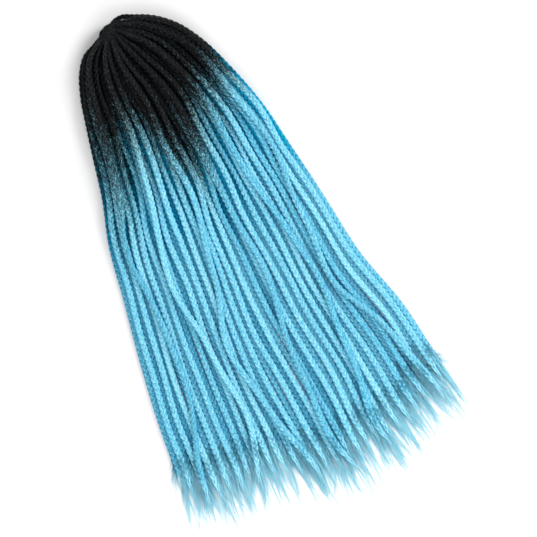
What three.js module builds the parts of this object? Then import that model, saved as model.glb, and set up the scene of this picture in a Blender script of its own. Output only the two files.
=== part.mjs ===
// A bundle of ready-plaited crochet box braids. It lies flat, fanned out from the tie that gathers its roots.
// Millimetres, +Z up. The braids run from the tie towards -Y, and the lowest ones rest on z = 0.
import * as THREE from 'three';
import { mergeVertices } from 'three/addons/utils/BufferGeometryUtils.js';

// Driving dimensions
const laneCount = 49; // braids that keep a lane of their own
const topCount = 6; // braids that lie free on top and cross the others
const braidLength = 600; // from the middle of the tie to the end of the loose hair
const braidWidth = 7.6;
const braidThickness = 5.4;
const neckWidth = 2.4; // a braid's root, where it is drawn in at the tie
const neckThickness = 2.4;
const looseLength = 52; // unplaited hair at the end of each braid
const looseTipWidth = 1.4;
const looseTipThickness = 1.1;
const endScatter = 9; // how much the braids' lengths differ from layer to layer
const ownScatter = 0.9; // share of endScatter by which the lengths differ inside a layer
const clearance = 0.35; // between one braid and the next, and round the tie
const rimLift = 7.2; // how far the outermost braid bows out beside the tie, which leaves a slit
const waveStep = 1.1; // radians of a braid's slow wave from section to section
const bunchCount = 2.5; // groups of braids across the fan
const bunchStep = 0.9; // radians by which the groups shift sideways from section to section
const chanceStep = 12.9898;
const chanceScale = 43758.5453;
const tieInset = 3.5; // how far the tie lies inside the fan's centre, towards -Y
const tieGroove = 0.7; // depth of the grooves between the tie's windings
const tieWindings = 6;
const tieSides = 16;

// The roots stand in eight levels at the tie. They sink to four in the crown and to two in the lengths.
// The top braids lie in one more level all the way.
const rootLevels = 8;
const crownLevels = 4;
const lengthLayers = 2;
const rootFan = THREE.MathUtils.degToRad(200);
const slantAllowance = 1.1; // extra lane width at the root, where the braids leave the tie at a slant
const rootLane = (neckWidth + clearance) * slantAllowance;
const rootArc = ((laneCount - 1) / rootLevels) * rootLane;
const rootReach = rootArc / rootFan;

// The width of all lanes side by side where they just fit in two layers
const laneSpan = ((laneCount - 1) / lengthLayers) * (braidWidth + clearance);

// A section of the full plait where nothing changes its place.
// growth: 0 at the neck's thickness, 1 at the plait's full thickness
// widening: the same for the width, which grows sooner, so the roots lie flat
// pairing: 0 with eight levels, 1 with four
// settling: 0 with four levels, 1 with two layers
// rim: share of rimLift
// sway: share of the free room between lanes that a braid may stray
// bunch: lanes by which whole groups of braids drift together
// wander: lanes that a top braid may cross to either side
// inset: distance towards -Y from the fan's centre
const still = { rim: 0, sway: 0, bunch: 0, wander: 0, inset: 0 };
const plain = { ...still, growth: 1, widening: 1, pairing: 1, settling: 0 };

// One row for each section, from the tie outwards.
// reach: distance from the tie, share of braidLength
// lean: direction of the fan's middle, degrees from +X
// spread: width of the fan along the arc, share of laneSpan
const neck = { ...plain, pairing: 0 };
const sections = [
  { ...neck, reach: 0.02, lean: -67.8, spread: 0.193, growth: 0.08, widening: 0.4, rim: 0.35 },
  { ...neck, reach: 0.037, lean: -76, spread: 0.323, growth: 0.15, widening: 0.55, rim: 1 },
  { ...neck, reach: 0.06, lean: -77.4, spread: 0.512, growth: 0.6, widening: 0.8, pairing: 0.7, rim: 0.2 },
  { ...plain, reach: 0.09, lean: -77.2, spread: 0.68 },
  { ...plain, reach: 0.13, lean: -77.2, spread: 0.83 },
  { ...plain, reach: 0.18, lean: -78.5, spread: 0.942 },
  { ...plain, reach: 0.24, lean: -80.7, spread: 1.037, bunch: 0.2 },
  { ...plain, reach: 0.32, lean: -82.8, spread: 1.149, bunch: 0.4, wander: 0.4 },
  { ...plain, reach: 0.41, lean: -85.4, spread: 1.266, settling: 0.75, sway: 0.1, bunch: 0.5, wander: 1.2 },
  { ...plain, reach: 0.515, lean: -86.5, spread: 1.362, settling: 1, sway: 0.14, bunch: 0.55, wander: 2.2 },
  { ...plain, reach: 0.64, lean: -87.5, spread: 1.475, settling: 1, sway: 0.18, bunch: 0.55, wander: 2.8 },
  { ...plain, reach: 0.775, lean: -87.4, spread: 1.642, settling: 1, sway: 0.12, bunch: 0.4, wander: 2.4 },
];
const rootEnd = { ...neck, lean: -68, growth: 0, widening: 0, rim: 0.2, inset: tieInset };
const plaitEnd = { ...plain, lean: -87.4, spread: 1.7, settling: 1, sway: 0.1, bunch: 0.25, wander: 2 };
const looseEnd = { ...plain, lean: -87.4, spread: 1.79, settling: 1, sway: 0.1, bunch: 0.25, wander: 1.6 };

// How far the loose ends reach, as a share of braidLength, from the left edge of the fan to the right one
const ends = [
  { across: 0, reach: 0.94 },
  { across: 0.12, reach: 0.955 },
  { across: 0.3, reach: 0.93 },
  { across: 0.5, reach: 0.985 },
  { across: 0.85, reach: 0.98 },
  { across: 0.95, reach: 0.955 },
  { across: 1, reach: 0.98 },
];

// Finish
const rootColour = new THREE.Color(0x0e0e10);
const lengthColour = new THREE.Color(0x5fbfe6);
const tieColour = new THREE.Color(0x17171a);
const ombreStart = 0.21; // shares of braidLength
const ombreEnd = 0.36;
const hairRoughness = 0.55;
const tieRoughness = 0.8;

// A repeatable number from 0 to 1 for each braid, which looks random because the sine is magnified
function chance(braid) {
  const magnified = Math.sin((braid + 1) * chanceStep) * chanceScale;
  return magnified - Math.floor(magnified);
}

// A braid's place in its own slow wave, from -1 to 1, at a section
function drift(braid, section) {
  return Math.sin(section * waveStep + 2 * Math.PI * chance(braid));
}

// A braid's lane in the fan. The top braids come after the others and are shared out over the whole fan.
function laneOf(braid) {
  const isFree = braid >= laneCount;
  const lane = isFree ? ((braid - laneCount + 0.5) * (laneCount - 1)) / topCount : braid;
  return { isFree, across: lane / (laneCount - 1) };
}

// A slow wave across the fan that crowds some braids and spreads others, and leaves the edges in place
function bunchingAt(across, section) {
  return Math.sin(2 * Math.PI * bunchCount * across + section * bunchStep) * Math.sin(Math.PI * across);
}

// Neighbours lie as many levels apart as they can: 0, 4, 2, 6, 1, 5, 3, 7 from lane to lane
function levelsOf(braid) {
  if (laneOf(braid).isFree) {
    return { root: rootLevels, crown: crownLevels, layer: lengthLayers };
  }
  const turn = braid % rootLevels;
  const root = 4 * (turn % 2) + 2 * (Math.floor(turn / 2) % 2) + Math.floor(turn / 4);
  const crown = Math.floor(root / 2);
  return { root, crown, layer: Math.floor(crown / 2) };
}

function reachOfEnd(across) {
  const next = ends.findIndex((row, index) => index > 0 && across <= row.across);
  const share = (across - ends[next - 1].across) / (ends[next].across - ends[next - 1].across);
  return THREE.MathUtils.lerp(ends[next - 1].reach, ends[next].reach, share) * braidLength;
}

// The braid's own rows: the root, the shared sections, the plait's end and the loose tip
function sectionsOf(braid) {
  const { layer } = levelsOf(braid);
  // An upper braid ends later than the ones under it, so its loose end droops past theirs
  const scatter = endScatter * (layer - 1 + ownScatter * (chance(braid) - 0.5));
  const tipReach = reachOfEnd(laneOf(braid).across) + scatter;
  const root = { ...rootEnd, reach: rootReach, arc: rootArc };
  const shared = sections.map((row) => ({ ...row, reach: row.reach * braidLength, arc: row.spread * laneSpan }));
  const end = { ...plaitEnd, reach: tipReach - looseLength, arc: plaitEnd.spread * laneSpan };
  const tip = { ...looseEnd, reach: tipReach, arc: looseEnd.spread * laneSpan, isTip: true };
  return [root, ...shared, end, tip];
}

// Where a section's middle lies, and the size of the plait there
function measure(braid, row, index) {
  const { root, crown, layer } = levelsOf(braid);
  const { isFree, across } = laneOf(braid);
  const laneStep = row.arc / (laneCount - 1);
  const fullWidth = THREE.MathUtils.lerp(neckWidth, braidWidth, row.widening);
  const fullThickness = THREE.MathUtils.lerp(neckThickness, braidThickness, row.growth);
  const width = row.isTip ? looseTipWidth : fullWidth;
  const thickness = row.isTip ? looseTipThickness : fullThickness;
  const freeRoom = Math.max(0, lengthLayers * laneStep - braidWidth - clearance);
  const stray = isFree ? row.wander * laneStep : row.sway * freeRoom;
  const rimShift = across === 1 ? row.rim * rimLift : 0;
  const shift = stray * drift(braid, index) + row.bunch * laneStep * bunchingAt(across, index) + rimShift;
  const alongArc = (across - 0.5) * row.arc + shift;
  const angle = THREE.MathUtils.degToRad(row.lean) + alongArc / row.reach;
  const isSettling = row.settling > 0;
  const level = isSettling
    ? THREE.MathUtils.lerp(crown, layer, row.settling)
    : THREE.MathUtils.lerp(root, crown, row.pairing);
  return {
    outward: new THREE.Vector3(Math.cos(angle), Math.sin(angle), 0),
    reach: row.reach,
    inset: row.inset,
    width,
    thickness,
    height: thickness / 2 + level * (thickness + clearance),
  };
}

// A closed six-sided bar through all of a braid's sections
function braidGeometry(braid) {
  const up = new THREE.Vector3(0, 0, 1);
  const rings = sectionsOf(braid).map((row, index) => measure(braid, row, index));
  const middles = rings.map((ring) => {
    const middle = ring.outward.clone().multiplyScalar(ring.reach);
    return middle.setY(middle.y - ring.inset).setZ(ring.height);
  });
  const outline = [[1, 0], [0.5, 1], [-0.5, 1], [-1, 0], [-0.5, -1], [0.5, -1]];
  const points = [];
  const colours = [];
  const addPoint = (point, reach) => {
    const fade = THREE.MathUtils.smoothstep(reach / braidLength, ombreStart, ombreEnd);
    points.push(...point.toArray());
    colours.push(...rootColour.clone().lerp(lengthColour, fade).toArray());
  };
  rings.forEach((ring, index) => {
    const before = middles[Math.max(0, index - 1)];
    const after = middles[Math.min(middles.length - 1, index + 1)];
    const heading = after.clone().sub(before).setZ(0).normalize();
    // The section lies along the arc, so a slanting braid is cut wider than it is
    const cutWidth = ring.width / heading.dot(ring.outward);
    const side = up.clone().cross(ring.outward).multiplyScalar(cutWidth / 2);
    for (const [across, above] of outline) {
      const corner = middles[index].clone().addScaledVector(side, across);
      addPoint(corner.addScaledVector(up, (above * ring.thickness) / 2), ring.reach);
    }
  });
  const corners = outline.length;
  const last = rings.length - 1;
  const faces = [];
  for (let ring = 0; ring < last; ring += 1) {
    for (let corner = 0; corner < corners; corner += 1) {
      const here = ring * corners + corner;
      const beside = ring * corners + ((corner + 1) % corners);
      faces.push(here, beside, beside + corners, here, beside + corners, here + corners);
    }
  }
  const rootPole = points.length / 3;
  addPoint(middles[0], rings[0].reach);
  const tipPole = rootPole + 1;
  const tipLength = rings[last].width;
  addPoint(middles[last].clone().addScaledVector(rings[last].outward, tipLength), rings[last].reach);
  for (let corner = 0; corner < corners; corner += 1) {
    const beside = (corner + 1) % corners;
    faces.push(rootPole, beside, corner);
    faces.push(tipPole, last * corners + corner, last * corners + beside);
  }
  const geometry = new THREE.BufferGeometry();
  geometry.setAttribute('position', new THREE.Float32BufferAttribute(points, 3));
  geometry.setAttribute('color', new THREE.Float32BufferAttribute(colours, 3));
  geometry.setIndex(faces);
  geometry.computeVertexNormals();
  return geometry;
}

function makeBraid(braid) {
  const material = new THREE.MeshStandardMaterial({
    vertexColors: true, roughness: hairRoughness, metalness: 0, flatShading: true,
  });
  const mesh = new THREE.Mesh(braidGeometry(braid), material);
  mesh.name = `braid_${String(braid + 1).padStart(2, '0')}`;
  return mesh;
}

// The wound elastic in the middle of the roots, as high as the stack of necks
function makeTie() {
  const height = (rootLevels + 1) * neckThickness + rootLevels * clearance;
  const radius = rootReach - clearance;
  const step = height / tieWindings;
  const profile = [new THREE.Vector2(0, 0)];
  for (let winding = 0; winding < tieWindings; winding += 1) {
    profile.push(new THREE.Vector2(radius - tieGroove, winding * step));
    profile.push(new THREE.Vector2(radius, (winding + 0.5) * step));
  }
  profile.push(new THREE.Vector2(radius - tieGroove, height), new THREE.Vector2(0, height));
  const turned = new THREE.LatheGeometry(profile, tieSides);
  turned.rotateX(Math.PI / 2);
  turned.deleteAttribute('normal');
  turned.deleteAttribute('uv');
  const geometry = mergeVertices(turned);
  geometry.computeVertexNormals();
  const material = new THREE.MeshStandardMaterial({ color: tieColour, roughness: tieRoughness, metalness: 0 });
  const mesh = new THREE.Mesh(geometry, material);
  mesh.name = 'loop_tie';
  mesh.position.y = -tieInset;
  return mesh;
}

// The origin is the middle of the bundle's outline on the surface that it lies on
const bundle = new THREE.Group();
bundle.add(makeTie());
for (let braid = 0; braid < laneCount + topCount; braid += 1) {
  bundle.add(makeBraid(braid));
}
const outlineBox = new THREE.Box3().setFromObject(bundle);
const centre = outlineBox.getCenter(new THREE.Vector3());
bundle.position.set(-centre.x, -centre.y, -outlineBox.min.z);

export default bundle;
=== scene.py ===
import math

import bmesh
import bpy
import numpy as np
from mathutils import Matrix, Vector


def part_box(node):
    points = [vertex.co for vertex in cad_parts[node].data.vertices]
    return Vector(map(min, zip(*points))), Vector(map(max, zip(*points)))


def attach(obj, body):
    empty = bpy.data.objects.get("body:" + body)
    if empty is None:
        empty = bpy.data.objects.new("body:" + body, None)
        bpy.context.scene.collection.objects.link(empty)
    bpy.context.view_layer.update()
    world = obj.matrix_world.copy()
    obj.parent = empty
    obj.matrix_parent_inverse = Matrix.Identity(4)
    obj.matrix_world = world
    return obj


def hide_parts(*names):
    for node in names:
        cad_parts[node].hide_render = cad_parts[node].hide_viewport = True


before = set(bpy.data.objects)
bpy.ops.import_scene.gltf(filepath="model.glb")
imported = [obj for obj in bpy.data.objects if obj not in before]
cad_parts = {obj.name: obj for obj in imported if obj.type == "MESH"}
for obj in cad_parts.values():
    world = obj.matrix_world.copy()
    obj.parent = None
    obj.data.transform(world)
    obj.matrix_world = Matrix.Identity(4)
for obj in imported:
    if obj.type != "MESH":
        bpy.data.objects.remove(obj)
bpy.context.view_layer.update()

MM = 0.001
UP = np.array([0.0, 0.0, 1.0])

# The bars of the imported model: six corners in each ring, and a single point at each end
RING_CORNERS = 6
POINT_DECIMALS = 6  # triangle corners that agree this far are one point
BRAIDS = sorted(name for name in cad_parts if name.startswith("braid_"))
tie_low, tie_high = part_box("loop_tie")
GATHER = (tie_low + tie_high) / 2
TIE_RADIUS = (tie_high.x - tie_low.x) / 2
TIE_HEIGHT = tie_high.z - tie_low.z

# The bearings of the fan's two edges at this ring, seen from the tie
FAN_RING = 6
FAN_START = math.radians(-123)
FAN_END = math.radians(-34)

# The plait
FULL_WIDTH = 7.6 * MM
TURN_LENGTH = 20 * MM  # a strand's way from one edge to the other and back
SHORTEST_TURN = 0.6  # share of the turn's length that is left where the plait is narrow
LOOSENED_TURN = 3  # how many turn lengths the last turn gains where the plait comes undone
STEPS_PER_TURN = 11
STRANDS = 3
STRAND_SIDES = 6
STRAND_SWING = 0.265  # shares of the plait's width
STRAND_HALF_WIDTH = 0.27
STRAND_LIFT = 0.235  # shares of the plait's thickness
STRAND_HALF_THICKNESS = 0.27
STRAND_THINNING = 0.85  # share of its size that a strand loses as it dissolves
STRAND_TONE = 0.35  # how far a strand's shade may differ from its braid's
STRAND_GRAIN_STEP = 0.9  # the streaks of the next strand start this much further on
BRAID_GRAIN_STEP = 3.0

# Upper plaits rock, lean and drift on their way. The lowest ones lie flat on the floor.
UPPER_LEVEL = 6 * MM  # a plait counts as an upper one from here on, and fully at twice this height
ROLL = 0.28  # radians
ROLL_WAVE = 190 * MM
LEAN = 0.9  # radians
OWN_SWAY = 1.4 * MM
OWN_SWAY_LENGTH = 120 * MM
SWAY_START = 60 * MM

# The loose ends: locks of hair that part from each other, each running to a point
LOCKS = 11
LOCK_HAIRS = 10
LOCK_RADIUS = 1.3 * MM
LOCK_CLOSING = 0.92  # share of its radius that a lock loses towards its point
LOCK_SPREAD = 7.5 * MM
WIDEST_SPREAD = 2  # in spreads
SPREAD_CURVE = 1.5
LOCK_BEND = 1.8 * MM
PLAIT_EDGE = 0.42  # the locks leave the plait this far from its middle, as a share of its width
EDGE_CLOSING = 0.7
CRIMP = 0.5 * MM  # the waves that plaiting leaves in the hair
CRIMP_LENGTH = 12 * MM
HAIR_POINTS = 8
HAIR_SIDES = 3
HAIR_RADIUS = 0.27 * MM
HAIR_TIP = 0.05 * MM
HAIR_TAPER = 0.7
HAIR_FLATNESS = 0.8  # height over width
FINEST_HAIR = 0.55  # in hair radii
COARSEST_HAIR = 1.1
HAIR_WANDER = 0.35 * MM
HAIR_TONE = 0.8  # how far a loose hair's shade may differ from its braid's
HAIR_GRAIN_SPAN = 30  # each hair's streaks start anywhere in this span
SINKING = 0.8  # share of its height over the floor that a hair loses on its way
PILE_HEIGHT = 0.8 * MM

# Where loose hair starts and ends, in shares of the loose length
STRANDS_END = 0.6  # the three strands have dissolved into locks here
EARLIEST_START = 0.35  # before the plait's end
LOCK_SHORTFALL = 0.65
LOCK_OVERSHOOT = 0.5
HAIR_SHORTFALL = 0.45
EDGE_OVERSHOOT = 0.7  # locks at the fan's right edge straggle further
RIGHT_EDGE = 0.95  # where that edge starts, from 0 at the fan's left to 1 at its right

FLOOR_GAP = 0.05 * MM  # hair lies at least this high

# Painted shade: hair this far under the top of the bundle is painted darkest, as hair there gets little
# light
DARK_DEPTH = 9.5 * MM
TOP_SHARE = 80  # percent of the braids lie at or under the top
LOOSE_CLEARING = 3  # how fast loose hair leaves that dark

# Stray hairs that stand off the plait
STRAY_HAIRS = 22
STRAY_POINTS = 6
STRAY_SIDES = 3
STRAY_RADIUS = 0.09 * MM
STRAY_TAPER = 0.8  # share of its radius that a stray hair loses
STRAY_LENGTH = 13 * MM
STRAY_SHORTEST = 0.4  # in stray lengths
STRAY_LONGEST = 1.2
STRAY_FIRST = 0.05  # shares of the plait's length
STRAY_LAST = 0.97
STRAY_FORWARD = 0.75  # the share that point to the loose end
STRAY_DIP = 0.25  # in half turns under the plait's two sides
STRAY_ROOT = 0.85  # in half widths of the plait from its middle
STRAY_STAND = 0.5  # a hair's tip stands this much further out, or up to twice as much

# The loops round the tie
LOOPS = 3
LOOP_POINTS = 24
LOOP_RADIUS = 0.8 * MM
LOOP_OVERLAP = 1.2 * MM
LOOP_START = 12 * MM  # the furthest out that a loop leaves its braid
LOOP_SLACK = 0.4 * MM
LOOP_TILT = 0.9 * MM
LOOP_WAVE = 0.3 * MM
LOOP_WAVES = 7
CROSSING_HEIGHT = 15 * MM  # roots higher than this have loops that cross the tie's top
CROSSING_SLACK = 3 * MM
CROSSING_RISE = 1.6 * MM

# Upward ways that are tilted a little, so that no hair runs along them
LOOP_LIFT = UP + [0.01, 0.02, 0]
STRAY_LIFT = UP + 0.01

# Where black turns to blue, in metres along a braid, from the left edge of the fan to the right one
OMBRE = [
    {"across": 0.0, "middle": 0.195, "length": 0.23},
    {"across": 0.15, "middle": 0.158, "length": 0.15},
    {"across": 0.3, "middle": 0.132, "length": 0.13},
    {"across": 0.45, "middle": 0.185, "length": 0.14},
    {"across": 0.55, "middle": 0.19, "length": 0.16},
    {"across": 0.7, "middle": 0.148, "length": 0.1},
    {"across": 1.0, "middle": 0.158, "length": 0.1},
]
OMBRE_SCATTER = 0.012
STRAND_SCATTER = 0.012

# The hair's patterns. The fineness is along a hair first, and then on the two ways round it.
FINE_GRAIN = {"fineness": (1.5, 5.0, 5.0), "detail": 3.0}
SPECK_GRAIN = {"fineness": (17.0, 2.8, 2.8), "detail": 3.0, "roughness": 0.7}
BROAD_GRAIN = {"fineness": (1.1, 1.2, 1.2)}
SPECK_STRENGTH = 2.0
TONE_STRENGTH = 0.14
RAGGEDNESS = 0.9
PATCHINESS = 0.3
CHANGE_START = 0.22
CHANGE_END = 0.88

# The hair's colours. The tints are painted shade: they darken what lies deep in the bundle and the
# undersides of the strands in the plait's creases.
# A curve is the power that a value from 0 to 1 is raised to.
BLUE_SHADES = ((0.2, (0.045, 0.38, 0.57)), (0.5, (0.2, 0.66, 0.87)), (0.8, (0.43, 0.88, 1.0)))
BLACK_SHADES = ((0.3, (0.0015, 0.0015, 0.002)), (0.6, (0.004, 0.004, 0.005)), (0.95, (0.03, 0.027, 0.026)))
LOOSE_BLUE = (0.42, 0.86, 1.0, 1)
LOOSE_CURVE = 0.5
# painted shade: the colour that hair deep in the bundle is darkened by
DEEP_SHADE_TINT = (0.0, 0.52, 0.68, 1)
DEEP_SHADE_CURVE = 3.0
# painted shade: the colour that strand undersides and the plait's creases are darkened by
CREASE_SHADE_TINT = (0.02, 0.66, 0.85, 1)
CREASE_SHADE_CURVE = 1.3
HAIR_ROUGHNESS = 0.42
ROUGHNESS_RANGE = 0.2
HAIR_RELIEF = 0.3 * MM
HAIR_SHINE = 0.15

# The wound elastic
WINDINGS = 6
CORD_SIDES = 12
WINDING_STEPS = 40
CORE_SIDES = 24
CORE_RADIUS = 0.55  # shares of the tie's own radius and height
CORE_HEIGHT = 0.96
THREAD_GRAIN = {"fineness": (900.0, 900.0, 2600.0), "detail": 3.0}
THREAD_SHADES = ((0.3, (0.02, 0.02, 0.022)), (0.7, (0.09, 0.09, 0.095)))
THREAD_ROUGHNESS = 0.7
THREAD_RELIEF = 0.2 * MM
THREAD_SHINE = 0.3
THREAD_SHEEN = 0.1

# The floor
FLOOR_HALF = 4.0
FLOOR_WHITE = (0.9, 0.9, 0.9, 1)
FLOOR_ROUGHNESS = 0.9
FLOOR_SHINE = 0.1

# The camera looks straight down. The bundle's +Y points this far to the left of the picture's top.
PICTURE_TURN = math.radians(24.887)
PICTURE_MIDDLE = Vector((0.0538, -0.3217, 0.0))  # from the tie
PICTURE_WIDTH = 0.6176  # of the floor that the picture shows
LENS = 180.0
SENSOR = 36.0

# Each light's way from the bundle, by the picture's right and top and the height over the floor
LIGHTS = [
    {"name": "key", "right": 0.8, "top": 0.45, "height": 0.9, "distance": 1.9, "size": 0.9, "power": 18},
    {"name": "fill", "right": 0.3, "top": -0.8, "height": 1.0, "distance": 2.0, "size": 1.6, "power": 16},
]
SKY_STRENGTH = 0.7


def smooth_through(knots, values, at):
    """The values at some places of a smooth curve through the knots."""
    slopes = np.gradient(values, knots, axis=0)
    span = np.clip(np.searchsorted(knots, at, side="right") - 1, 0, len(knots) - 2)
    gap = (knots[span + 1] - knots[span])[:, None]
    t = (at - knots[span])[:, None] / gap
    start = (1 + 2 * t) * (1 - t) ** 2 * values[span] + t * (1 - t) ** 2 * gap * slopes[span]
    end = t**2 * (3 - 2 * t) * values[span + 1] + t**2 * (t - 1) * gap * slopes[span + 1]
    return start + end


def unit(vectors):
    return vectors / np.linalg.norm(vectors, axis=-1, keepdims=True)


def along(points):
    """The distance from the first point to each point of a route."""
    steps = np.linalg.norm(np.diff(points, axis=0), axis=1)
    return np.concatenate([[0.0], np.cumsum(steps)])


def bar_rings(node):
    """The middle, half width and thickness of each ring of a braid's bar, from the tie outwards."""
    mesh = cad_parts[node].data
    points = np.empty(len(mesh.vertices) * 3)
    mesh.vertices.foreach_get("co", points)
    points = np.unique(points.reshape(-1, 3).round(POINT_DECIMALS), axis=0)
    reach = np.hypot(points[:, 0] - GATHER.x, points[:, 1] - GATHER.y)
    rings = points[np.argsort(reach)][1:-1].reshape(-1, RING_CORNERS, 3)
    middles = rings.mean(axis=1)
    # A ring may lie askew in its bar, so its width is measured squarely to the bar's way
    offsets = (rings - middles[:, None]) * [1, 1, 0]
    widest = np.linalg.norm(offsets, axis=2).argmax(axis=1)
    cuts = offsets[np.arange(len(rings)), widest]
    headings = unit(np.gradient(middles, axis=0) * [1, 1, 0])
    square = cuts - (cuts * headings).sum(axis=1, keepdims=True) * headings
    thickness = np.ptp(rings[:, :, 2], axis=1)
    return middles, np.linalg.norm(square, axis=1), thickness


BARS = {node: bar_rings(node) for node in BRAIDS}


def top_of_bundle():
    """How high the bundle is at each ring, and how far from the tie the ring lies."""
    middles = np.array([bar[0] for bar in BARS.values()])
    thickness = np.array([bar[2] for bar in BARS.values()])
    reach = np.hypot(middles[..., 0] - GATHER.x, middles[..., 1] - GATHER.y).mean(axis=0)
    return reach, np.percentile(middles[..., 2] + thickness / 2, TOP_SHARE, axis=0)


TOP_REACH, TOP_HEIGHT = top_of_bundle()


def depth_at(points):
    """How deep points lie in the bundle, from 0 at its top to 1 where the painted shade is darkest."""
    reach = np.hypot(points[..., 0] - GATHER.x, points[..., 1] - GATHER.y)
    top = np.interp(reach, TOP_REACH, TOP_HEIGHT)
    return np.clip((top - points[..., 2]) / DARK_DEPTH, 0, 1)


def add_piece(name, mesh, material):
    """Puts a finished mesh into the scene as a piece of its own."""
    mesh.shade_smooth()
    mesh.materials.append(material)
    piece = bpy.data.objects.new(name, mesh)
    bpy.context.scene.collection.objects.link(piece)
    return piece


class Hair:
    """Gathers closed tubes and their shading values for one piece."""

    def __init__(self):
        self.points = []
        self.faces = []
        self.grain = []
        self.shading = {"fade": [], "tone": [], "loose": [], "depth": []}
        self.count = 0

    def add_tubes(self, routes, lifts, half_width, half_height, sides, place, fade, tone, loose):
        """One tube along each route. Sizes and shading values are given for each point of each route."""
        tubes, steps, _ = routes.shape
        heading = unit(np.gradient(routes, axis=1))
        across = unit(np.cross(lifts, heading))
        lift = np.cross(heading, across)
        angles = np.arange(sides) * 2 * math.pi / sides
        cos, sin = np.cos(angles), np.sin(angles)
        corners = routes[:, :, None] + across[:, :, None] * (half_width[..., None] * cos)[..., None]
        corners = corners + lift[:, :, None] * (half_height[..., None] * sin)[..., None]
        corners[..., 2] = np.maximum(corners[..., 2], FLOOR_GAP)
        ring = np.arange(sides)
        start = self.count + (np.arange(tubes)[:, None] * steps + np.arange(steps - 1)) * sides
        here = start[..., None] + ring
        beside = start[..., None] + (ring + 1) % sides
        quads = np.stack([here, beside, beside + sides, here + sides], axis=-1).reshape(-1, 4)
        first = self.count + np.arange(tubes)[:, None] * steps * sides + ring[::-1]
        last = self.count + (np.arange(tubes)[:, None] + 1) * steps * sides - sides + ring
        self.faces += quads.tolist() + first.tolist() + last.tolist()
        shape = (tubes, steps, sides)
        spread = [np.broadcast_to(values, shape) for values in (place[..., None], cos, sin)]
        self.grain.append(np.stack(spread, axis=-1).reshape(-1, 3))
        for title, values in (("fade", fade), ("tone", tone), ("loose", loose)):
            self.shading[title].append(np.broadcast_to(values[..., None], shape).ravel())
        # painted shade: darkening by depth in the bundle, fading out on loose hair
        depth = depth_at(corners) * (1 - loose[..., None]) ** LOOSE_CLEARING
        self.shading["depth"].append(depth.ravel())
        self.points.append(corners.reshape(-1, 3))
        self.count += tubes * steps * sides

    def piece(self, name, material):
        mesh = bpy.data.meshes.new(name)
        mesh.from_pydata(np.concatenate(self.points).tolist(), [], self.faces)
        for title, values in self.shading.items():
            mesh.attributes.new(title, "FLOAT", "POINT").data.foreach_set("value", np.concatenate(values))
        grain = mesh.attributes.new("grain", "FLOAT_VECTOR", "POINT")
        grain.data.foreach_set("vector", np.concatenate(self.grain).ravel())
        return add_piece(name, mesh, material)


def ombre_at(share, column):
    return np.interp(share, [row["across"] for row in OMBRE], [row[column] for row in OMBRE])


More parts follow.
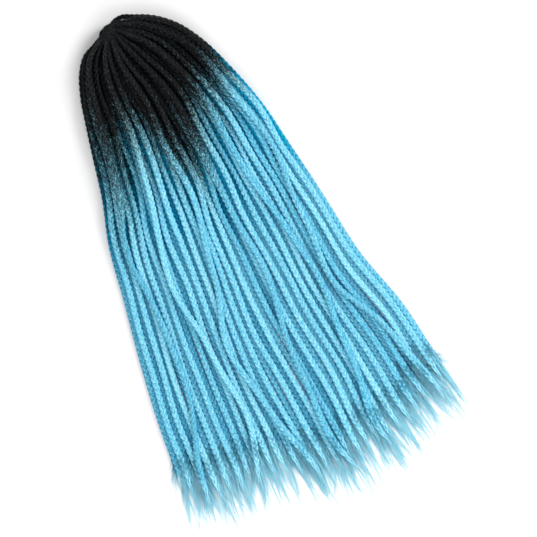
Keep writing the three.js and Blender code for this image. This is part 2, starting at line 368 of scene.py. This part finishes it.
class Braid:
    """One braid: its route through its bar, its sizes on the way, and its hair."""

    def __init__(self, node, number):
        self.chance = np.random.default_rng(number)
        self.offset = BRAID_GRAIN_STEP * number
        middles, half_width, thickness = BARS[node]
        knots = along(middles)
        self.plait_end, self.tip = knots[-2], knots[-1]
        self.s = np.linspace(0, self.tip, round(self.tip / TURN_LENGTH * STEPS_PER_TURN))
        self.middle = smooth_through(knots, middles, self.s)
        sizes = smooth_through(knots, np.column_stack([half_width, thickness]), self.s)
        self.half_width, self.thickness = sizes[:, 0], sizes[:, 1]
        self.heading = unit(np.gradient(self.middle, axis=0))
        self.lay_out()
        bearing = math.atan2(middles[FAN_RING][1] - GATHER.y, middles[FAN_RING][0] - GATHER.x)
        share = (bearing - FAN_START) / (FAN_END - FAN_START)
        self.ombre = ombre_at(share, "middle") + OMBRE_SCATTER * self.chance.uniform(-1, 1)
        self.ombre_length = ombre_at(share, "length")
        self.overshoot = EDGE_OVERSHOOT if share > RIGHT_EDGE else LOCK_OVERSHOOT
        self.tone = self.chance.uniform(-1, 1)
        self.hair = Hair()

    def lay_out(self):
        """The plait's own sideways and upward directions at each step, and its drift."""
        across = unit(np.cross(UP, self.heading))
        rise = np.cross(self.heading, across)
        upper = np.clip(self.middle[:, 2] / UPPER_LEVEL - 1, 0, 1)
        roll = ROLL * np.sin(2 * math.pi * self.s / ROLL_WAVE + self.chance.uniform(0, 2 * math.pi))
        roll = roll * upper + LEAN * self.chance.uniform(-1, 1) * upper
        sway = np.sin(2 * math.pi * self.s / OWN_SWAY_LENGTH + self.chance.uniform(0, 2 * math.pi))
        sway = OWN_SWAY * upper * sway * np.minimum(self.s / SWAY_START, 1)
        self.middle = self.middle + sway[:, None] * across
        self.across = across * np.cos(roll)[:, None] + rise * np.sin(roll)[:, None]
        self.rise = rise * np.cos(roll)[:, None] - across * np.sin(roll)[:, None]

    def fade(self, s):
        return np.clip((s - self.ombre) / self.ombre_length + 0.5, 0, 1)

    def at(self, values, s):
        """One of the braid's own rows of values at any distances along it."""
        flat = np.asarray(s).ravel()
        columns = [np.interp(flat, self.s, values[:, axis]) for axis in range(values.shape[1])]
        return np.stack(columns, axis=-1).reshape(*np.shape(s), values.shape[1])

    def plait(self):
        """Three strands that cross over each other and thin out past the plait's end."""
        chance = self.chance
        loosening = np.clip((self.s - self.plait_end) / (self.tip - self.plait_end), 0, 1)
        kept = loosening <= STRANDS_END
        turn_length = TURN_LENGTH * np.clip(2 * self.half_width / FULL_WIDTH, SHORTEST_TURN, 1)
        loosened = TURN_LENGTH * (1 + LOOSENED_TURN * loosening)
        turn_length = np.where(self.s > self.plait_end, loosened, turn_length)
        turned = 2 * math.pi * np.cumsum(np.gradient(self.s) / turn_length) + chance.uniform(0, 2 * math.pi)
        phase = turned + 2 * math.pi * np.arange(STRANDS)[:, None] / STRANDS
        width = 2 * self.half_width
        swing = STRAND_SWING * width * np.sin(phase)
        lift = -STRAND_LIFT * self.thickness * np.sin(2 * phase)
        routes = self.middle + swing[..., None] * self.across + lift[..., None] * self.rise
        shape = (STRANDS, len(self.s))
        lifts = np.broadcast_to(self.rise, (*shape, 3))
        thin = 1 - STRAND_THINNING * np.minimum(loosening / STRANDS_END, 1)
        half_width = np.broadcast_to(STRAND_HALF_WIDTH * width * thin, shape)
        half_height = np.broadcast_to(STRAND_HALF_THICKNESS * self.thickness * thin, shape)
        place = self.s / TURN_LENGTH + self.offset + STRAND_GRAIN_STEP * np.arange(STRANDS)[:, None]
        tone = np.broadcast_to(self.tone + STRAND_TONE * chance.uniform(-1, 1, (STRANDS, 1)), shape)
        fade = self.fade(self.s + STRAND_SCATTER * chance.uniform(-1, 1, (STRANDS, 1)))
        values = (place, fade, tone, np.broadcast_to(loosening, shape))
        cut = [array[:, kept] for array in (routes, lifts, half_width, half_height)]
        self.hair.add_tubes(*cut, STRAND_SIDES, *[value[:, kept] for value in values])

    def loose_end(self):
        """Locks of hair that leave the plait's end, part from each other and sink to the floor."""
        chance = self.chance
        length = self.tip - self.plait_end
        one_each = (LOCKS, 1, 1)
        all_hairs = (LOCKS, LOCK_HAIRS, 1)
        t = np.linspace(0, 1, HAIR_POINTS)
        start = self.plait_end - chance.uniform(0, EARLIEST_START, all_hairs) * length
        lock_finish = self.tip + chance.uniform(-LOCK_SHORTFALL, self.overshoot, one_each) * length
        finish = lock_finish - chance.uniform(0, HAIR_SHORTFALL, all_hairs) * length
        s = start + (finish - start) * t
        flat_s = np.minimum(s, self.tip)
        beyond = np.maximum(s - self.tip, 0)[..., None] * self.heading[-1]
        spread = np.clip(chance.normal(0, 1, one_each), -WIDEST_SPREAD, WIDEST_SPREAD)
        fan = LOCK_SPREAD * spread * t**SPREAD_CURVE
        bend = LOCK_BEND * chance.normal(0, 1, one_each) * np.sin(math.pi * t)
        crimp = CRIMP * np.sin(2 * math.pi * s / CRIMP_LENGTH + chance.uniform(0, 2 * math.pi, one_each))
        lock_way = chance.uniform(0, 2 * math.pi, one_each)
        hair_way = chance.uniform(0, 2 * math.pi, all_hairs)
        from_middle = PLAIT_EDGE * FULL_WIDTH * (1 - EDGE_CLOSING * t)
        from_lock = LOCK_RADIUS * np.sqrt(chance.uniform(0, 1, all_hairs)) * (1 - LOCK_CLOSING * t)
        own = HAIR_WANDER * chance.normal(0, 1, all_hairs) * t**2
        sideways = from_middle * np.cos(lock_way) + from_lock * np.cos(hair_way)
        sideways = sideways + fan + bend + crimp * np.sin(math.pi * t) + own
        upright = from_middle * np.sin(lock_way) + from_lock * np.sin(hair_way)
        across = self.at(unit(np.cross(UP, self.heading)), flat_s)
        routes = self.at(self.middle, flat_s) + beyond
        routes = routes + sideways[..., None] * across + upright[..., None] * UP
        rest = HAIR_RADIUS + PILE_HEIGHT * chance.uniform(0, 1, all_hairs)
        sunk = routes[..., 2] * (1 - SINKING * t) + SINKING * t * rest
        routes[..., 2] = np.maximum(sunk, HAIR_TIP + HAIR_RADIUS)
        coarseness = chance.uniform(FINEST_HAIR, COARSEST_HAIR, all_hairs)
        size = HAIR_RADIUS * coarseness * (1 - t) ** HAIR_TAPER + HAIR_TIP
        place = s / TURN_LENGTH + chance.uniform(0, HAIR_GRAIN_SPAN, all_hairs)
        tone = self.tone + HAIR_TONE * chance.uniform(-1, 1, all_hairs) + 0 * t
        loose = np.clip((s - self.plait_end) / length, 0, 1)
        shape = (LOCKS * LOCK_HAIRS, HAIR_POINTS)
        rows = (size, HAIR_FLATNESS * size, place, self.fade(s), tone, loose)
        half_width, half_height, *shading = [values.reshape(shape) for values in rows]
        lifts = np.broadcast_to(UP, (*shape, 3))
        self.hair.add_tubes(routes.reshape(*shape, 3), lifts, half_width, half_height, HAIR_SIDES, *shading)

    def stray_hairs(self):
        """Fine hairs that stand off the plait here and there."""
        chance = self.chance
        each = (STRAY_HAIRS, 1)
        root = chance.uniform(STRAY_FIRST, STRAY_LAST, each) * self.plait_end
        forward = np.where(chance.uniform(0, 1, each) < STRAY_FORWARD, 1, -1)
        length = STRAY_LENGTH * chance.uniform(STRAY_SHORTEST, STRAY_LONGEST, each)
        t = np.linspace(0, 1, STRAY_POINTS)
        s = np.clip(root + forward * length * t, 0, self.plait_end)
        half = np.interp(s, self.s, self.half_width)
        high = np.interp(s, self.s, self.thickness) / 2
        angle = chance.uniform(-STRAY_DIP, 1 + STRAY_DIP, each) * math.pi
        stand = STRAY_ROOT + (STRAY_STAND + chance.uniform(0, STRAY_STAND, each)) * t**SPREAD_CURVE
        sideways = half * np.cos(angle) * stand
        upright = high * np.sin(angle) * stand
        routes = self.at(self.middle, s) + sideways[..., None] * self.at(self.across, s)
        routes = routes + upright[..., None] * self.at(self.rise, s)
        routes[..., 2] = np.maximum(routes[..., 2], STRAY_RADIUS)
        size = STRAY_RADIUS * (1 - STRAY_TAPER * t) * np.ones(each)
        lifts = np.broadcast_to(STRAY_LIFT, (*s.shape, 3))
        tone = np.broadcast_to(chance.uniform(-1, 1, each), s.shape)
        place = s / TURN_LENGTH + self.offset
        shading = (place, self.fade(s), tone, np.zeros(s.shape))
        self.hair.add_tubes(routes, lifts, size, size, STRAY_SIDES, *shading)

    def root_loops(self):
        """The loops at the braid's root. Upper ones pass over the tie, and lower ones round its side."""
        chance = self.chance
        turn = np.linspace(0, 2 * math.pi, LOOP_POINTS)
        half = np.sin(turn / 2)
        for _ in range(LOOPS):
            start = self.at(self.middle, chance.uniform(0, LOOP_START))
            way = math.atan2(start[1] - GATHER.y, start[0] - GATHER.x)
            reach = math.hypot(start[0] - GATHER.x, start[1] - GATHER.y) + LOOP_OVERLAP
            wave = LOOP_WAVE * np.sin(LOOP_WAVES * turn + chance.uniform(0, 2 * math.pi))
            if start[2] > CROSSING_HEIGHT:
                aside = CROSSING_SLACK * chance.uniform(-1, 1) * half + wave
                crown = tie_high.z + LOOP_RADIUS + CROSSING_RISE * chance.uniform(0, 1)
                level = start[2] + (crown - start[2]) * np.sqrt(half)
                outward = np.cos(turn / 2) * np.where(turn < math.pi, reach, TIE_RADIUS)
                x = GATHER.x + outward * math.cos(way) - aside * math.sin(way)
                y = GATHER.y + outward * math.sin(way) + aside * math.cos(way)
            else:
                side = TIE_RADIUS + LOOP_RADIUS + LOOP_SLACK * chance.uniform(0, 1)
                radius = reach + (side - reach) * np.sqrt(half) + wave * half
                level = start[2] + LOOP_TILT * chance.uniform(-1, 1) * np.sin(turn)
                x = GATHER.x + radius * np.cos(way + turn)
                y = GATHER.y + radius * np.sin(way + turn)
            routes = np.stack([x, y, np.maximum(level, LOOP_RADIUS)], axis=-1)[None]
            size = LOOP_RADIUS * np.ones((1, LOOP_POINTS))
            place = turn[None] + self.offset
            zero = np.zeros((1, LOOP_POINTS))
            lifts = np.broadcast_to(LOOP_LIFT, routes.shape)
            self.hair.add_tubes(routes, lifts, size, size, STRAND_SIDES, place, zero, zero, zero)


class Nodes:
    """Short calls for making a material's nodes and links."""

    def __init__(self, name):
        self.material = bpy.data.materials.new(name)
        self.material.use_nodes = True
        self.tree = self.material.node_tree
        self.tree.nodes.clear()

    def add(self, kind, **settings):
        node = self.tree.nodes.new("ShaderNode" + kind)
        for key, value in settings.items():
            setattr(node, key, value)
        return node

    def feed(self, socket, value):
        if isinstance(value, bpy.types.NodeSocket):
            self.tree.links.new(value, socket)
        else:
            socket.default_value = value

    def attribute(self, name, output="Fac"):
        return self.add("Attribute", attribute_name=name).outputs[output]

    def math(self, operation, first, second=0.0, third=0.0):
        node = self.add("Math", operation=operation)
        for socket, value in zip(node.inputs, (first, second, third)):
            self.feed(socket, value)
        return node.outputs["Value"]

    def vary(self, value, pattern, strength):
        """Raises and lowers a value by a pattern that runs from 0 to 1."""
        return self.math("MULTIPLY_ADD", self.math("SUBTRACT", pattern, 0.5), strength, value)

    def step(self, value, start, end):
        """A soft step from 0 to 1."""
        node = self.add("MapRange", interpolation_type="SMOOTHSTEP")
        self.feed(node.inputs["Value"], value)
        node.inputs["From Min"].default_value = start
        node.inputs["From Max"].default_value = end
        return node.outputs["Result"]

    def noise(self, vector, fineness, detail=2.0, roughness=0.5):
        """A cloudy pattern that is stretched by its fineness on each axis."""
        stretch = self.add("VectorMath", operation="MULTIPLY")
        self.feed(stretch.inputs[0], vector)
        stretch.inputs[1].default_value = fineness
        node = self.add("TexNoise")
        self.feed(node.inputs["Vector"], stretch.outputs["Vector"])
        node.inputs["Scale"].default_value = 1.0
        node.inputs["Detail"].default_value = detail
        node.inputs["Roughness"].default_value = roughness
        return node.outputs["Fac"]

    def part(self, vector, axis):
        node = self.add("SeparateXYZ")
        self.feed(node.inputs["Vector"], vector)
        return node.outputs[axis]

    def ramp(self, value, stops):
        node = self.add("ValToRGB")
        elements = node.color_ramp.elements
        while len(elements) < len(stops):
            elements.new(0.5)
        for element, (position, colour) in zip(elements, stops):
            element.position = position
            element.color = (*colour, 1)
        self.feed(node.inputs["Fac"], value)
        return node.outputs["Color"]

    def mix(self, share, first, second, blend="MIX"):
        node = self.add("Mix", data_type="RGBA", blend_type=blend)
        for socket, value in zip((node.inputs[0], node.inputs[6], node.inputs[7]), (share, first, second)):
            self.feed(socket, value)
        return node.outputs[2]

    def finish(self, colour, roughness, shine, sheen=0.0, relief=None, depth=0.0):
        """The surface itself, with its relief where it has one."""
        shader = self.add("BsdfPrincipled")
        self.feed(shader.inputs["Base Color"], colour)
        self.feed(shader.inputs["Roughness"], roughness)
        shader.inputs["Specular IOR Level"].default_value = shine
        shader.inputs["Sheen Weight"].default_value = sheen
        if relief is not None:
            bump = self.add("Bump")
            bump.inputs["Distance"].default_value = depth
            self.feed(bump.inputs["Height"], relief)
            self.feed(shader.inputs["Normal"], bump.outputs["Normal"])
        output = self.add("OutputMaterial")
        self.feed(output.inputs["Surface"], shader.outputs["BSDF"])
        return self.material


def hair_material():
    """Fine streaks along each strand, black at the root and sky blue below, with a ragged change, and
    painted shade deep in the bundle and under the strands.
    """
    nodes = Nodes("braided_hair")
    grain = nodes.attribute("grain", "Vector")
    fine = nodes.noise(grain, **FINE_GRAIN)
    specks = nodes.noise(grain, **SPECK_GRAIN)
    broad = nodes.noise(grain, **BROAD_GRAIN)
    mottle = nodes.vary(fine, specks, SPECK_STRENGTH)
    shade = nodes.math("MULTIPLY_ADD", nodes.attribute("tone"), TONE_STRENGTH, mottle)
    ragged = nodes.vary(nodes.attribute("fade"), mottle, RAGGEDNESS)
    change = nodes.step(nodes.vary(ragged, broad, PATCHINESS), CHANGE_START, CHANGE_END)
    loose = nodes.math("POWER", nodes.attribute("loose"), LOOSE_CURVE)
    plaited = nodes.math("SUBTRACT", 1.0, loose)
    lengths = nodes.mix(loose, nodes.ramp(shade, BLUE_SHADES), LOOSE_BLUE)
    lit = nodes.mix(change, nodes.ramp(mottle, BLACK_SHADES), lengths)
    # painted shade on hair deep in the bundle
    deep = nodes.math("POWER", nodes.attribute("depth"), DEEP_SHADE_CURVE)
    deep_shaded = nodes.mix(deep, lit, DEEP_SHADE_TINT, blend="MULTIPLY")
    # painted shade on the strands' undersides and in the plait's creases, not on loose hair
    under = nodes.math("MULTIPLY_ADD", nodes.part(grain, "Z"), -0.5, 0.5)
    crease_shade = nodes.math("MULTIPLY", nodes.math("POWER", under, CREASE_SHADE_CURVE), plaited)
    colour = nodes.mix(crease_shade, deep_shaded, CREASE_SHADE_TINT, blend="MULTIPLY")
    roughness = nodes.math("MULTIPLY_ADD", broad, ROUGHNESS_RANGE, HAIR_ROUGHNESS)
    relief = nodes.math("MULTIPLY", mottle, plaited)
    return nodes.finish(colour, roughness, HAIR_SHINE, relief=relief, depth=HAIR_RELIEF)


def elastic_material():
    """Covered elastic: dark, with the fine unevenness of its thread."""
    nodes = Nodes("tie_elastic")
    thread = nodes.noise(nodes.add("TexCoord").outputs["Object"], **THREAD_GRAIN)
    colour = nodes.ramp(thread, THREAD_SHADES)
    return nodes.finish(colour, THREAD_ROUGHNESS, THREAD_SHINE, THREAD_SHEEN, thread, THREAD_RELIEF)


def make_tie(material):
    """The wound elastic: a stack of rings round a core."""
    pitch = TIE_HEIGHT / WINDINGS
    radius = pitch / 2
    upright = Matrix.Rotation(math.pi / 2, 4, "X")
    mesh = bmesh.new()
    for winding in range(WINDINGS):
        middle = Vector((GATHER.x, GATHER.y, tie_low.z + pitch * (winding + 0.5)))
        place = Matrix.Translation(middle + Vector((TIE_RADIUS - radius, 0, 0))) @ upright
        circle = bmesh.ops.create_circle(mesh, segments=CORD_SIDES, radius=radius, matrix=place)
        edges = list(dict.fromkeys(edge for vert in circle["verts"] for edge in vert.link_edges))
        bmesh.ops.spin(
            mesh, geom=circle["verts"] + edges, cent=middle, axis=UP, angle=2 * math.pi,
            steps=WINDING_STEPS, use_merge=True,
        )
    core = Matrix.Translation((GATHER.x, GATHER.y, tie_low.z + TIE_HEIGHT / 2))
    core_radius = TIE_RADIUS * CORE_RADIUS
    bmesh.ops.create_cone(
        mesh, cap_ends=True, segments=CORE_SIDES, radius1=core_radius, radius2=core_radius,
        depth=TIE_HEIGHT * CORE_HEIGHT, matrix=core,
    )
    bmesh.ops.recalc_face_normals(mesh, faces=mesh.faces)
    data = bpy.data.meshes.new("wound_tie")
    mesh.to_mesh(data)
    mesh.free()
    return add_piece("wound_tie", data, material)


def dress_braids(material):
    """Makes each braid's hair and lets it stand for its bar."""
    for number, node in enumerate(BRAIDS, start=1):
        braid = Braid(node, number)
        braid.plait()
        braid.loose_end()
        braid.stray_hairs()
        braid.root_loops()
        piece = braid.hair.piece(node.replace("braid", "plait"), material)
        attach(piece, "root")
        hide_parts(node)


def dress_tie(material):
    piece = make_tie(material)
    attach(piece, "root")
    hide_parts("loop_tie")


def make_floor():
    mesh = bmesh.new()
    bmesh.ops.create_grid(mesh, x_segments=1, y_segments=1, size=FLOOR_HALF)
    data = bpy.data.meshes.new("floor")
    mesh.to_mesh(data)
    mesh.free()
    paint = Nodes("floor").finish(FLOOR_WHITE, FLOOR_ROUGHNESS, FLOOR_SHINE)
    add_piece("floor", data, paint)


def add_light(row):
    way = Matrix.Rotation(-PICTURE_TURN, 3, "Z") @ Vector((row["right"], row["top"], row["height"]))
    way.normalize()
    data = bpy.data.lights.new(row["name"], "AREA")
    data.shape = "DISK"
    data.size = row["size"]
    data.energy = row["power"]
    light = bpy.data.objects.new(row["name"], data)
    bpy.context.scene.collection.objects.link(light)
    light.location = way * row["distance"]
    light.rotation_euler = way.to_track_quat("Z", "Y").to_euler()


def light_scene():
    world = bpy.data.worlds.new("studio")
    bpy.context.scene.world = world
    world.use_nodes = True
    sky = world.node_tree.nodes["Background"]
    sky.inputs["Color"].default_value = (1, 1, 1, 1)
    sky.inputs["Strength"].default_value = SKY_STRENGTH
    for row in LIGHTS:
        add_light(row)
    bpy.context.scene.view_settings.view_transform = "Standard"


def make_camera():
    data = bpy.data.cameras.new("camera")
    data.lens = LENS
    data.sensor_width = SENSOR
    camera = bpy.data.objects.new("camera", data)
    bpy.context.scene.collection.objects.link(camera)
    middle = Vector((GATHER.x, GATHER.y, 0)) + PICTURE_MIDDLE
    camera.location = middle + Vector((0, 0, PICTURE_WIDTH * LENS / SENSOR))
    camera.rotation_euler = (0, 0, -PICTURE_TURN)
    bpy.context.scene.camera = camera


dress_braids(hair_material())
dress_tie(elastic_material())
make_floor()
light_scene()
make_camera()
